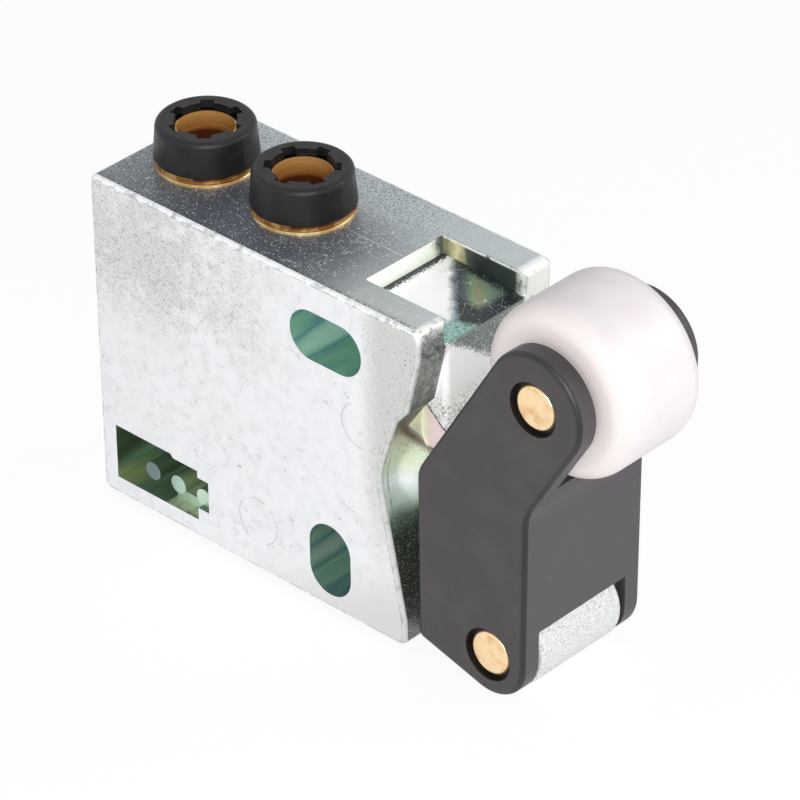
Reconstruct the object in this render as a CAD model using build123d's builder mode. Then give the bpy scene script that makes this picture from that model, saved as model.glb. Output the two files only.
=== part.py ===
from build123d import *
import math
import os

os.makedirs("parts", exist_ok=True)

# Roller lever air valve: a die-cast zinc body with two push-in tube ports on top, a poppet
# valve lying in its middle, and a moulded lever with a roller on the front.
# X runs from the back of the body to the roller, Y across its width, Z up to the ports.
# The origin is the centre of the body's bottom face.
# All sizes are in millimetres. Names ending in _x are measured from the body's back face.

# Die-cast body
body_width = 14.8
body_height = 29.3
top_length = 35.0
foot_setback = 1.9
foot_height = 2.4
brow_height = 26.8
brow_setback = 0.15
shoulder_high_setback = 1.4
shoulder_high_rise = 7.05
shoulder_low_setback = 2.6
shoulder_low_rise = 5.65
throat_setback = 4.4
throat_radius = 5.0
corner_radius = 0.7
edge_radius = 0.4

# Shallow tray in the top of the body, open to the front, that clears the roller
tray_length = 8.4
tray_width = 8.7
tray_back_depth = 1.65
tray_front_depth = 2.15
tray_corner_radius = 0.3
wall_tip_radius = 0.6

# Nose under the tray, and the barrel that holds the plunger
valve_height = 14.65
nose_setback = 0.25
nose_width = 8.4
nose_edge_radius = 0.5
barrel_root_depth = 1.1
barrel_root_radius = 5.0
barrel_reach = 3.5
barrel_front_radius = 4.5
barrel_chamfer = 0.5
root_radius = 1.8

# Lug that carries the lever
pivot_reach = 6.15
pivot_height = 2.95
lug_radius = 3.65
lug_width = 9.1
lug_root_height = 8.2
lug_edge_radius = 0.4

# Fixing slots through the body, for M4 screws
slot_x = 25.28
upper_slot_height = 24.5
upper_slot_length = 7.44
lower_slot_height = 4.54
lower_slot_length = 6.48
slot_width = 4.36

# Cored window in the near side, with three cast posts on a ledge
window_back_x = 1.67
window_step_x = 7.8
window_front_x = 10.8
window_pocket_x = 12.0
window_low = 1.67
window_high = 6.64
window_drop = 0.32
window_pocket_low = 2.8
window_pocket_high = 5.69
window_depth = 5.0
post_radius = 0.8
post_first_x = 5.15
post_pitch = 2.85
post_height = 3.45
post_recess = 0.6
ledge_back_x = 7.2
ledge_height = 0.9
ledge_recess = 1.2

# Tube ports
tube_diameter = 4.0
tube_clearance = 0.05
port_rear_x = 5.6
port_pitch = 10.45
port_floor = 1.35
port_passage_radius = 1.2

# Brass sleeve of a port, measured down from the body's top face
sleeve_radius = 4.0
sleeve_fit = 0.02
sleeve_flange_radius = 4.1
sleeve_flange_height = 0.3
sleeve_flange_chamfer = 0.1
sleeve_neck_radius = 3.7
sleeve_neck_height = 1.0
sleeve_throat_radius = 3.3
sleeve_waist_radius = 2.96
sleeve_waist_depth = 0.9
sleeve_waist_length = 0.8
sleeve_waist_taper = 0.35
sleeve_seat_depth = 6.3
tube_stop_height = 0.6
tube_stop_lip = 0.6
sleeve_seal_drop = 1.4
sleeve_seal_width = 0.9

# Soft rings: square-cut where nothing moves, with a lip where a tube or the plunger slides
seal_lip = 0.25
seal_lean = 0.2
tube_seal_height = 1.1
tube_seal_gap = 0.1

# Black release button
button_height = 3.82
button_gap = 0.85
button_base_radius = 4.2
button_top_radius = 3.95
button_round = 0.5
button_hole_radius = 2.5
button_crown = 0.6
button_notch_depth = 0.48
button_notch_width = 1.1
button_notch_count = 6
button_turn = {"rear": 12.0, "front": 38.0}
button_skirt = 0.4
button_skirt_depth = 0.75

# Brass collet inside the button
collet_radius = 2.9
collet_bore_radius = 2.3
collet_fit = 0.03
collet_depth = 4.6
collet_head_radius = 3.15
collet_head_depth = 2.3
collet_grip_radius = 2.08
collet_grip_length = 0.8
collet_slit_width = 0.5
collet_slit_length = 3.6
collet_slit_count = 4

# Valve bore: narrow behind the seat, wide in front of it
bore_end_x = 4.0
rear_bore_radius = 2.9
seat_x = 11.2
bore_radius = 3.3
bore_fit = 0.02

# Seat bush
bush_length = 3.0
bush_orifice_radius = 1.75
bush_rim_height = 0.4
bush_rim_radius = 2.2
bush_seal_width = 0.8

# Poppet with its soft pad and spring
poppet_radius = 2.6
poppet_length = 1.6
poppet_stem_radius = 1.1
poppet_stem_length = 1.6
pad_radius = 2.3
pad_thickness = 0.7
pad_stand = 0.3
poppet_wire = 0.2
poppet_coil_radius = 1.7
poppet_coil_turns = 3.5
poppet_travel = 1.3

# Plunger, its seal and return spring
plunger_radius = 2.0
plunger_nose_radius = 1.4
plunger_vent_radius = 0.55
plunger_vent_reach = 2.4
plunger_collar_x = 29.0
plunger_collar_length = 2.4
plunger_collar_radius = 3.2
plunger_round = 1.6
plunger_tip_gap = 0.1
exhaust_gap = 0.3
plunger_seal_width = 0.9
return_wire = 0.28
return_coil_radius = 2.3
return_coil_turns = 6.5
plunger_travel = 1.6
coil_wire_sides = 8

# Guide bush in the barrel's mouth
guide_fit = 0.05
guide_flange_radius = 3.9
guide_flange_thickness = 0.8
guide_stop_gap = 0.05

# Moulded roller lever
lever_width = 13.5
lever_wall = 1.8
web_wall = 1.7
web_lean = 0.27
lever_back_setback = 7.3
lever_foot_radius = 3.55
lever_heel_height = 1.25
lever_heel_radius = 0.7
lever_neck_angle = 58.7
lever_head_radius = 4.57
lever_knee_radius = 2.5
lever_hollow_radius = 4.0
lever_edge_radius = 0.5
web_low_height = 5.8
roller_lead = 4.52
roller_height = 27.15
roller_clearance = 0.35
lug_clearance = 0.3

# Roller and pins
roller_radius = 7.11
roller_width = 9.0
roller_end_radius = 1.6
pin_radius = 1.88
pin_recess = 0.2
pin_round = 0.3
pin_press_fit = 0.01
pin_running_fit = 0.05
pin_mouth_gap = 0.37
pin_mouth_depth = 0.7

# Worked out from the sizes above: all that lies in front follows the length of the top
foot_length = top_length - foot_setback
back = -foot_length / 2
throat_x = top_length - throat_setback
brow_x = top_length - brow_setback
tray_back_x = top_length - tray_length
nose_front_x = top_length - nose_setback
barrel_root_x = throat_x - barrel_root_depth
barrel_front_x = top_length + barrel_reach
plunger_vent_x = barrel_front_x + plunger_vent_reach
pivot_x = top_length + pivot_reach
lever_back_x = pivot_x - lever_back_setback
roller_x = pivot_x + roller_lead
port_depth = body_height - valve_height - bore_radius - port_floor
sleeve_seal_depth = sleeve_seat_depth + sleeve_seal_drop
port_positions = {"rear": port_rear_x, "front": port_rear_x + port_pitch}
tube_radius = tube_diameter / 2 + tube_clearance
tray_floor_back = body_height - tray_back_depth
tray_floor_front = body_height - tray_front_depth
bush_front_x = seat_x + bush_length
pad_front_x = seat_x - bush_rim_height
poppet_front_x = pad_front_x - pad_stand
poppet_back_x = poppet_front_x - poppet_length
front_x = pivot_x + lever_foot_radius
guide_back_x = plunger_collar_x + plunger_collar_length + guide_stop_gap
fork_width = lever_width - 2 * lever_wall
neck_cos = math.cos(math.radians(lever_neck_angle))
neck_sin = math.sin(math.radians(lever_neck_angle))
pivot = (back + pivot_x, pivot_height)
head = (back + roller_x, roller_height)
# Straight neck edges touch the lever's round head on both sides
front_touch = (roller_x + lever_head_radius * neck_sin, roller_height - lever_head_radius * neck_cos)
back_touch = (roller_x - lever_head_radius * neck_sin, roller_height + lever_head_radius * neck_cos)
slope = neck_sin / neck_cos
# The front of the web leans out a little from the foot to the neck
bend_x = front_x + web_lean
front_corner = (back + bend_x, front_touch[1] - slope * (front_touch[0] - bend_x))
web_slope = web_lean / (front_corner[1] - pivot_height)
web_low_x = front_x - web_wall + web_slope * (web_low_height - pivot_height)
web_contact_x = front_x - web_wall + web_slope * (valve_height - pivot_height)

# Planes and axes that several pieces share
valve_plane = Plane(origin=(back, 0, valve_height), x_dir=(1, 0, 0), z_dir=(0, -1, 0))
valve_axis = Axis((back, 0, valve_height), (1, 0, 0))
seal_plane = Plane(origin=(back, 0, valve_height), x_dir=(0, 0, 1), z_dir=(0, 1, 0))


def along_x(start):
    """Plane across the valve axis, start millimetres from the back face."""
    return Plane(origin=(back + start, 0, valve_height), x_dir=(0, 1, 0), z_dir=(1, 0, 0))


def side_plane(offset=0.0):
    """Upright plane along the body: local x is X and local y is Z."""
    return Plane.XZ.offset(-offset)


def port_plane(side):
    """Upright plane through a port's axis: local x is the radius, local y the height."""
    return Plane(origin=(back + port_positions[side], 0, body_height), x_dir=(1, 0, 0), z_dir=(0, -1, 0))


def port_axis(side):
    """Axis of one port, pointing up."""
    return Axis((back + port_positions[side], 0, body_height), (0, 0, 1))


def finish(part, name):
    """Label a finished piece and write it to its own file."""
    part.label = name
    export_step(part, "parts/" + name + ".step")


def square_ring(plane, axis, inner, outer, start, name):
    """Write one square-cut soft ring; in its plane, local x is the radius."""
    with BuildPart() as ring:
        with BuildSketch(plane):
            with Locations((inner, start)):
                Rectangle(outer - inner, outer - inner, align=(Align.MIN, Align.MIN))
        revolve(axis=axis)
    finish(ring.part, name)


def lip_ring(plane, axis, inner, outer, start, end, name):
    """Write one soft lip ring; its lips open towards the end given last."""
    with BuildPart() as ring:
        with BuildSketch(plane):
            with BuildLine():
                Polyline(
                    (inner + seal_lean, start),
                    (outer - seal_lean, start),
                    (outer, end),
                    (outer - seal_lip, end),
                    ((inner + outer) / 2, (start + end) / 2),
                    (inner + seal_lip, end),
                    (inner, end),
                    close=True,
                )
            make_face()
        revolve(axis=axis)
    finish(ring.part, name)


def coil(start, end, radius, wire, turns, name):
    """Write one coil spring on the valve axis between two faces."""
    length = end - start - 2 * wire
    with BuildPart() as spring:
        with BuildLine():
            path = Helix(
                pitch=length / turns,
                height=length,
                radius=radius,
                center=(back + start + wire, 0, valve_height),
                direction=(1, 0, 0),
            )
        with BuildSketch(Plane(origin=path @ 0, z_dir=path % 0)):
            RegularPolygon(wire, coil_wire_sides)
        sweep(path=path, is_frenet=True)
    finish(spring.part, name)


# Body casting: the side outline runs the whole width
with BuildPart() as casting:
    with BuildSketch(side_plane()) as outline:
        with BuildLine():
            Polyline(
                (back, 0),
                (back + foot_length, 0),
                (back + foot_length, foot_height),
                (back + throat_x, valve_height),
                (back + top_length - shoulder_low_setback, valve_height + shoulder_low_rise),
                (back + top_length - shoulder_high_setback, valve_height + shoulder_high_rise),
                (back + brow_x, brow_height),
                (back + top_length, body_height),
                (back, body_height),
                close=True,
            )
        make_face()
        throat = outline.vertices().sort_by_distance((back + throat_x, valve_height))[0]
        fillet(throat, throat_radius)
        tips = [(0, 0), (foot_length, 0), (top_length, body_height), (0, body_height)]
        for x, z in tips:
            tip = outline.vertices().sort_by_distance((back + x, z))[0]
            fillet(tip, corner_radius)
    extrude(amount=body_width / 2, both=True)
    sides = casting.faces().filter_by(Axis.Y)
    fillet(sides.edges(), edge_radius)

    # Barrel: a drafted boss that blends into the concave front
    with BuildSketch(valve_plane):
        with BuildLine():
            Polyline(
                (barrel_root_x, 0),
                (barrel_root_x, barrel_root_radius),
                (barrel_front_x - barrel_chamfer, barrel_front_radius),
                (barrel_front_x, barrel_front_radius - barrel_chamfer),
                (barrel_front_x, 0),
                close=True,
            )
        make_face()
    revolve(axis=valve_axis)
    barrel = casting.faces().filter_by(GeomType.CONE).sort_by(SortBy.AREA)[-1]
    root = barrel.edges().sort_by(Axis.X)[0:-2]
    fillet(root, root_radius)

    # Nose over the barrel, under the tray
    with BuildSketch(Plane.XY.offset(valve_height)) as nose:
        with Locations((back + nose_front_x, 0)):
            Rectangle(nose_front_x - barrel_root_x, nose_width, align=(Align.MAX, Align.CENTER))
        fillet(nose.vertices().group_by(Axis.X)[-1], nose_edge_radius)
    extrude(amount=tray_floor_back - valve_height)

    # Lug between the lever's cheeks
    with BuildSketch(side_plane()):
        with BuildLine():
            lug_arc = CenterArc((back + pivot_x, pivot_height), lug_radius, -90, 180)
            Polyline(lug_arc @ 1, (back + throat_x, lug_root_height), (back + throat_x, 0),
                     (back + foot_length, 0), lug_arc @ 0)
        make_face()
    extrude(amount=lug_width / 2, both=True)
    lug_rims = [edge for edge in casting.edges()
                if abs(abs(edge.center().Y) - lug_width / 2) < 0.01
                and back + foot_length + 1 < edge.center().X
                and edge.center().Z < valve_height - barrel_root_radius]
    fillet(lug_rims, lug_edge_radius)

    # Tray, with its floor sloping down to the front
    with BuildSketch(side_plane()):
        with BuildLine():
            Polyline(
                (back + tray_back_x, body_height + 1),
                (back + tray_back_x, tray_floor_back),
                (back + brow_x, tray_floor_front),
                (back + top_length + 1, tray_floor_front),
                (back + top_length + 1, body_height + 1),
                close=True,
            )
        make_face()
    extrude(amount=tray_width / 2, both=True, mode=Mode.SUBTRACT)
    back_corners = [edge for edge in casting.edges().filter_by(Axis.Z)
                    if abs(edge.center().X - back - tray_back_x) < 0.01]
    fillet(back_corners, tray_corner_radius)
    # The walls beside the tray end in rounded tips
    tip_x = back + top_length - wall_tip_radius
    tip_y = tray_width / 2 + wall_tip_radius
    with BuildSketch(Plane.XY.offset(tray_floor_front)):
        with Locations((tip_x, 0)):
            Rectangle(2 * wall_tip_radius, 2 * tip_y, align=(Align.MIN, Align.CENTER))
        with Locations((tip_x, tip_y), (tip_x, -tip_y)):
            Circle(wall_tip_radius, mode=Mode.SUBTRACT)
    extrude(amount=tray_front_depth, mode=Mode.SUBTRACT)

    # Port cavities and the passages down to the valve bore
    for port_x in port_positions.values():
        with BuildSketch(Plane.XY.offset(body_height)):
            with Locations((back + port_x, 0)):
                Circle(sleeve_radius)
        extrude(amount=-port_depth, mode=Mode.SUBTRACT)
        with BuildSketch(Plane.XY.offset(body_height - port_depth)):
            with Locations((back + port_x, 0)):
                Circle(port_passage_radius)
        extrude(amount=valve_height - body_height + port_depth, mode=Mode.SUBTRACT)

    # Valve bore, closed at the back
    with BuildSketch(along_x(bore_end_x)):
        Circle(rear_bore_radius)
    extrude(amount=barrel_front_x - bore_end_x, mode=Mode.SUBTRACT)
    with BuildSketch(along_x(seat_x)):
        Circle(bore_radius)
    extrude(amount=barrel_front_x - seat_x, mode=Mode.SUBTRACT)

    # Fixing slots, the upper one lying along X and the lower one upright
    with BuildSketch(side_plane()):
        with Locations((back + slot_x, upper_slot_height)):
            SlotOverall(upper_slot_length, slot_width)
        with Locations((back + slot_x, lower_slot_height)):
            SlotOverall(lower_slot_length, slot_width, rotation=90)
    extrude(amount=body_width, both=True, mode=Mode.SUBTRACT)

    # Pivot hole through the lug
    with BuildSketch(side_plane()):
        with Locations((back + pivot_x, pivot_height)):
            Circle(pin_radius + pin_press_fit)
    extrude(amount=lug_width, both=True, mode=Mode.SUBTRACT)

    # Window in the near side
    with BuildSketch(side_plane(-body_width / 2)):
        with BuildLine():
            Polyline(
                (back + window_back_x, window_low),
                (back + window_front_x, window_low),
                (back + window_front_x, window_pocket_low),
                (back + window_pocket_x, window_pocket_low),
                (back + window_pocket_x, window_pocket_high),
                (back + window_front_x, window_pocket_high),
                (back + window_front_x, window_high - window_drop),
                (back + window_step_x + window_drop, window_high - window_drop),
                (back + window_step_x, window_high),
                (back + window_back_x, window_high),
                close=True,
            )
        make_face()
    extrude(amount=-window_depth, mode=Mode.SUBTRACT)
    with BuildSketch(side_plane(window_depth - body_width / 2)):
        for number in range(3):
            with Locations((back + post_first_x + number * post_pitch, post_height)):
                Circle(post_radius)
    extrude(amount=window_depth - post_recess)
    with BuildSketch(side_plane(window_depth - body_width / 2)):
        with Locations((back + ledge_back_x, window_low)):
            Rectangle(window_front_x - ledge_back_x, ledge_height, align=(Align.MIN, Align.MIN))
    extrude(amount=window_depth - ledge_recess)
finish(casting.part, "body_casting")

# Tube ports: each has a brass sleeve pressed into the body, a soft ring outside and inside it,
# a brass collet that grips the tube, and a black button that opens the collet
for side in port_positions:
    sleeve_groove_radius = sleeve_radius - sleeve_fit - sleeve_seal_width
    waist_end = sleeve_waist_depth + sleeve_waist_length
    with BuildPart() as sleeve:
        with BuildSketch(port_plane(side)):
            with BuildLine():
                Polyline(
                    (tube_radius - tube_stop_lip, -port_depth),
                    (sleeve_radius - sleeve_fit, -port_depth),
                    (sleeve_radius - sleeve_fit, -sleeve_seal_depth - sleeve_seal_width / 2),
                    (sleeve_groove_radius, -sleeve_seal_depth - sleeve_seal_width / 2),
                    (sleeve_groove_radius, -sleeve_seal_depth + sleeve_seal_width / 2),
                    (sleeve_radius - sleeve_fit, -sleeve_seal_depth + sleeve_seal_width / 2),
                    (sleeve_radius - sleeve_fit, 0),
                    (sleeve_flange_radius, 0),
                    (sleeve_flange_radius, sleeve_flange_height - sleeve_flange_chamfer),
                    (sleeve_flange_radius - sleeve_flange_chamfer, sleeve_flange_height),
                    (sleeve_neck_radius, sleeve_flange_height),
                    (sleeve_neck_radius, sleeve_neck_height),
                    (sleeve_throat_radius, sleeve_neck_height),
                    (sleeve_throat_radius, -sleeve_waist_depth),
                    (sleeve_waist_radius, -sleeve_waist_depth),
                    (sleeve_waist_radius, -waist_end),
                    (sleeve_throat_radius, -waist_end - sleeve_waist_taper),
                    (sleeve_throat_radius, -sleeve_seat_depth),
                    (tube_radius, -sleeve_seat_depth),
                    (tube_radius, tube_stop_height - port_depth),
                    (tube_radius - tube_stop_lip, tube_stop_height - port_depth),
                    close=True,
                )
            make_face()
        revolve(axis=port_axis(side))
    finish(sleeve.part, "port_sleeve_" + side)

    square_ring(port_plane(side), port_axis(side), sleeve_groove_radius, sleeve_radius - sleeve_fit,
                -sleeve_seal_depth - sleeve_seal_width / 2, "sleeve_seal_" + side)
    lip_ring(port_plane(side), port_axis(side), tube_radius + tube_seal_gap,
             sleeve_throat_radius - sleeve_fit, tube_seal_height - sleeve_seat_depth,
             -sleeve_seat_depth, "tube_seal_" + side)

    # The collet is a slit tube whose thick ends spread when the button is pressed
    with BuildPart() as collet:
        with BuildSketch(port_plane(side)):
            with BuildLine():
                Polyline(
                    (collet_bore_radius, button_height - button_crown - collet_fit),
                    (collet_radius, button_height - button_crown - collet_fit),
                    (collet_radius, -collet_head_depth),
                    (collet_head_radius, -collet_head_depth - sleeve_waist_taper),
                    (collet_head_radius, -collet_depth),
                    (collet_grip_radius, -collet_depth),
                    (collet_grip_radius, collet_grip_length - collet_depth),
                    (collet_bore_radius, 2 * collet_grip_length - collet_depth),
                    close=True,
                )
            make_face()
        revolve(axis=port_axis(side))
        with BuildSketch(Plane(port_axis(side).position).offset(-collet_depth)):
            with PolarLocations(collet_radius, collet_slit_count, start_angle=button_turn[side]):
                Rectangle(2 * collet_grip_radius, collet_slit_width)
        extrude(amount=collet_slit_length, mode=Mode.SUBTRACT)
    finish(collet.part, "tube_collet_" + side)

    # The button's crown has a ring of small notches round its hole
    with BuildPart() as button:
        with BuildSketch(port_plane(side)):
            with BuildLine():
                Polyline(
                    (button_base_radius - button_skirt, button_gap),
                    (button_base_radius, button_gap),
                    (button_top_radius, button_height),
                    (button_hole_radius, button_height),
                    (button_hole_radius, button_height - button_crown),
                    (collet_radius + collet_fit, button_height - button_crown),
                    (collet_radius + collet_fit, button_gap + button_skirt_depth),
                    (button_base_radius - button_skirt, button_gap + button_skirt_depth),
                    close=True,
                )
            make_face()
        revolve(axis=port_axis(side))
        rim_point = (back + port_positions[side] + button_top_radius, 0, body_height + button_height)
        fillet(button.edges().sort_by_distance(rim_point)[0], button_round)
        with BuildSketch(Plane(port_axis(side).position).offset(button_height)):
            with PolarLocations(button_hole_radius, button_notch_count, start_angle=button_turn[side]):
                Rectangle(2 * button_notch_depth, button_notch_width)
        extrude(amount=-button_crown, mode=Mode.SUBTRACT)
    finish(button.part, "release_button_" + side)

# Seat bush: a brass ring whose sharp rim the poppet closes on
with BuildPart() as seat_bush:
    bush_groove_radius = bore_radius - bore_fit - bush_seal_width
    bush_groove_x = seat_x + (bush_length - bush_seal_width) / 2
    with BuildSketch(valve_plane):
        with BuildLine():
            Polyline(
                (pad_front_x, bush_orifice_radius),
                (pad_front_x, bush_rim_radius),
                (seat_x, bush_rim_radius),
                (seat_x, bore_radius - bore_fit),
                (bush_groove_x, bore_radius - bore_fit),
                (bush_groove_x, bush_groove_radius),
                (bush_groove_x + bush_seal_width, bush_groove_radius),
                (bush_groove_x + bush_seal_width, bore_radius - bore_fit),
                (bush_front_x, bore_radius - bore_fit),
                (bush_front_x, bush_orifice_radius),
                close=True,
            )
        make_face()
    revolve(axis=valve_axis)
finish(seat_bush.part, "seat_bush")
square_ring(seal_plane, valve_axis, bush_groove_radius, bore_radius - bore_fit, bush_groove_x,
            "seat_bush_seal")

# Poppet: a brass disc and stem with a soft pad let into its front
with BuildPart() as poppet:
    with BuildSketch(valve_plane):
        with BuildLine():
            Polyline(
                (poppet_back_x - poppet_stem_length, 0),
                (poppet_back_x - poppet_stem_length, poppet_stem_radius),
                (poppet_back_x, poppet_stem_radius),
                (poppet_back_x, poppet_radius),
                (poppet_front_x, poppet_radius),
                (poppet_front_x, pad_radius),
                (pad_front_x - pad_thickness, pad_radius),
                (pad_front_x - pad_thickness, 0),
                close=True,
            )
        make_face()
    revolve(axis=valve_axis)
finish(poppet.part, "poppet")

with BuildPart() as pad:
    with BuildSketch(along_x(pad_front_x - pad_thickness)):
        Circle(pad_radius)
    extrude(amount=pad_thickness)
finish(pad.part, "poppet_pad")
# Both springs are drawn at their pressed length, seated at the end that stays still.
coil(bore_end_x, poppet_back_x - poppet_travel, poppet_coil_radius, poppet_wire,
     poppet_coil_turns, "poppet_spring")

# Plunger: vented down its middle, so the outlet breathes out through it when the lever is free
with BuildPart() as plunger:
    collar_front_x = plunger_collar_x + plunger_collar_length
    collar_groove_x = plunger_collar_x + (plunger_collar_length - plunger_seal_width) / 2
    collar_groove_radius = plunger_collar_radius - plunger_seal_width
    tip_x = web_contact_x - plunger_tip_gap
    with BuildSketch(valve_plane):
        with BuildLine():
            Polyline(
                (pad_front_x + exhaust_gap, 0),
                (pad_front_x + exhaust_gap, plunger_nose_radius),
                (plunger_collar_x, plunger_nose_radius),
                (plunger_collar_x, plunger_collar_radius),
                (collar_groove_x, plunger_collar_radius),
                (collar_groove_x, collar_groove_radius),
                (collar_groove_x + plunger_seal_width, collar_groove_radius),
                (collar_groove_x + plunger_seal_width, plunger_collar_radius),
                (collar_front_x, plunger_collar_radius),
                (collar_front_x, plunger_radius),
                (tip_x, plunger_radius),
                (tip_x, 0),
                close=True,
            )
        make_face()
    revolve(axis=valve_axis)
    fillet(plunger.edges().filter_by(GeomType.CIRCLE).sort_by(Axis.X)[-1], plunger_round)
    with BuildSketch(along_x(pad_front_x)):
        Circle(plunger_vent_radius)
    extrude(amount=plunger_vent_x - pad_front_x, mode=Mode.SUBTRACT)
    with BuildSketch(side_plane()):
        with Locations((back + plunger_vent_x, valve_height)):
            Circle(plunger_vent_radius)
    extrude(amount=plunger_radius, both=True, mode=Mode.SUBTRACT)
finish(plunger.part, "plunger")
lip_ring(seal_plane, valve_axis, collar_groove_radius, plunger_collar_radius + bore_fit,
         collar_groove_x + plunger_seal_width, collar_groove_x, "plunger_seal")
coil(bush_front_x, plunger_collar_x - plunger_travel, return_coil_radius, return_wire,
     return_coil_turns, "return_spring")

# Guide bush: it holds the plunger's collar back and steers its stem
with BuildPart() as guide:
    with BuildSketch(valve_plane):
        with BuildLine():
            Polyline(
                (guide_back_x, plunger_radius + guide_fit),
                (guide_back_x, bore_radius - bore_fit),
                (barrel_front_x, bore_radius - bore_fit),
                (barrel_front_x, guide_flange_radius),
                (barrel_front_x + guide_flange_thickness, guide_flange_radius),
                (barrel_front_x + guide_flange_thickness, plunger_radius + guide_fit),
                close=True,
            )
        make_face()
    revolve(axis=valve_axis)
finish(guide.part, "guide_bush")

# Roller lever: a moulded channel, two cheeks joined by a web at the front
with BuildPart() as lever:
    back_corner = (back + lever_back_x, back_touch[1] - slope * (back_touch[0] - lever_back_x))
    heel = (back + lever_back_x, lever_heel_height)
    # The underside runs from the heel to touch the round foot
    heel_run = math.hypot(lever_back_x - pivot_x, lever_heel_height - pivot_height)
    heel_angle = math.degrees(math.atan2(lever_heel_height - pivot_height, lever_back_x - pivot_x))
    foot_start = heel_angle + math.degrees(math.acos(lever_foot_radius / heel_run))
    with BuildSketch(side_plane()) as cheek:
        with BuildLine():
            foot_arc = CenterArc(pivot, lever_foot_radius, foot_start, -foot_start)
            head_arc = CenterArc(head, lever_head_radius, lever_neck_angle - 90, 180)
            Polyline(foot_arc @ 1, front_corner, head_arc @ 0)
            Polyline(head_arc @ 1, back_corner, heel, foot_arc @ 0)
        make_face()
        bends = [(front_corner, lever_hollow_radius), (back_corner, lever_knee_radius),
                 (heel, lever_heel_radius)]
        for place, radius in bends:
            fillet(cheek.vertices().sort_by_distance(place)[0], radius)
    extrude(amount=lever_width / 2, both=True)
    fillet(lever.faces().filter_by(Axis.Y).edges(), lever_edge_radius)

    # Room between the cheeks: all of the channel but the web, the roller and the lug cleared
    web_inner_corner = (front_corner[0] - web_wall,
                        front_corner[1] + web_wall * math.tan(math.radians((90 - lever_neck_angle) / 2)))
    with BuildSketch(side_plane()):
        with Locations((back + roller_x, body_height / 2)):
            Rectangle(4 * roller_radius, 2 * body_height)
        with BuildLine():
            Polyline(
                (back + web_low_x, web_low_height),
                (back + bend_x + web_wall, web_low_height),
                (back + bend_x + web_wall, front_corner[1]),
                (back + bend_x + web_wall + roller_radius * neck_cos,
                 front_corner[1] + roller_radius * neck_sin),
                (web_inner_corner[0] + roller_radius * neck_cos,
                 web_inner_corner[1] + roller_radius * neck_sin),
                web_inner_corner,
                close=True,
            )
        make_face(mode=Mode.SUBTRACT)
        with Locations(head):
            Circle(roller_radius + roller_clearance)
        with Locations(pivot):
            Circle(lug_radius + lug_clearance)
    extrude(amount=fork_width / 2, both=True, mode=Mode.SUBTRACT)

    # Pin holes, the lower one turning on its pin and the upper one gripping it
    for place, fit in ((pivot, pin_running_fit), (head, pin_press_fit)):
        with BuildSketch(side_plane()):
            with Locations(place):
                Circle(pin_radius + fit)
        extrude(amount=lever_width, both=True, mode=Mode.SUBTRACT)
    # Each hole opens out at the face of its cheek, which leaves a dark gap round the pin's end
    for side in (-1, 1):
        with BuildSketch(side_plane(side * lever_width / 2)):
            with Locations(pivot, head):
                Circle(pin_radius + pin_mouth_gap)
        extrude(amount=side * pin_mouth_depth, mode=Mode.SUBTRACT)
finish(lever.part, "roller_lever")

# Roller, turned on its pin between the cheeks
with BuildPart() as roller:
    with BuildSketch(side_plane()):
        with Locations(head):
            Circle(roller_radius)
    extrude(amount=roller_width / 2, both=True)
    fillet(roller.edges().filter_by(GeomType.CIRCLE), roller_end_radius)
    with BuildSketch(side_plane()):
        with Locations(head):
            Circle(pin_radius + pin_running_fit)
    extrude(amount=roller_width, both=True, mode=Mode.SUBTRACT)
finish(roller.part, "roller")

# Brass pins, set just below the faces of the cheeks
for name, place in (("pivot_pin", pivot), ("roller_pin", head)):
    with BuildPart() as pin:
        with BuildSketch(side_plane()):
            with Locations(place):
                Circle(pin_radius)
        extrude(amount=lever_width / 2 - pin_recess, both=True)
        fillet(pin.edges().filter_by(GeomType.CIRCLE), pin_round)
    finish(pin.part, name)
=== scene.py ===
import math
from types import SimpleNamespace

import bpy
import numpy as np
from mathutils import Matrix


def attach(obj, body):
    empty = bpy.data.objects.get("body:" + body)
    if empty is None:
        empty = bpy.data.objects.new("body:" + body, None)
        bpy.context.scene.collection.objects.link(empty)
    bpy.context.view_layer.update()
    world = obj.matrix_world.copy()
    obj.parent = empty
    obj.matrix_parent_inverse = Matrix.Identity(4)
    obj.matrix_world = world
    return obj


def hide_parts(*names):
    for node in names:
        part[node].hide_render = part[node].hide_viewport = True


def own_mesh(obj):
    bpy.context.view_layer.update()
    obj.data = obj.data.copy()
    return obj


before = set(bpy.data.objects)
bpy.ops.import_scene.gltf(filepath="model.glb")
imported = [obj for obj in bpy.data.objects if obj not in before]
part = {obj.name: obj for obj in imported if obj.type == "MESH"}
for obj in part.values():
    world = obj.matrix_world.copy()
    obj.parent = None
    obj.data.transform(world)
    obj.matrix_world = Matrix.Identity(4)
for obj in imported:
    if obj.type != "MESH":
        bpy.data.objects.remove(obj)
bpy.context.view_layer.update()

# ROOM
# A white table and a white cove behind it, as a small part is laid out for its portrait.
# Large soft lamps: one high at the front right with a shadowless fill beside it for the
# hollows, a weak one low at the left, and one behind at the right.

MM = 0.001
table_level = -0.7 * MM
table_reach, curl_radius = 1.2, 0.5
curl_start, table_rows = 0.8, 40
look_azimuth, look_elevation, look_roll = 43.597, 33.281, -0.828
look_target = np.array([2.411, -0.15, 14.5]) * MM
look_distance = 406.59 * MM
look_side, look_up = 5.168 * MM, -1.198 * MM
film_width = 36.0
lens_pixels = 5225.959
picture_pixels = 800
room_light, room_gloss = 0.38, 0.97
paper_glow, paper_share = 1.03, 0.84


def place_on(thing, right, up, back, place):
    """Turn an object so that its X, Y and Z axes are right, up and back, and put it in place."""
    matrix = np.eye(4)
    matrix[:3] = np.stack([right, up, back, place], axis=1)
    thing.matrix_world = Matrix(matrix.tolist())


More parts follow.
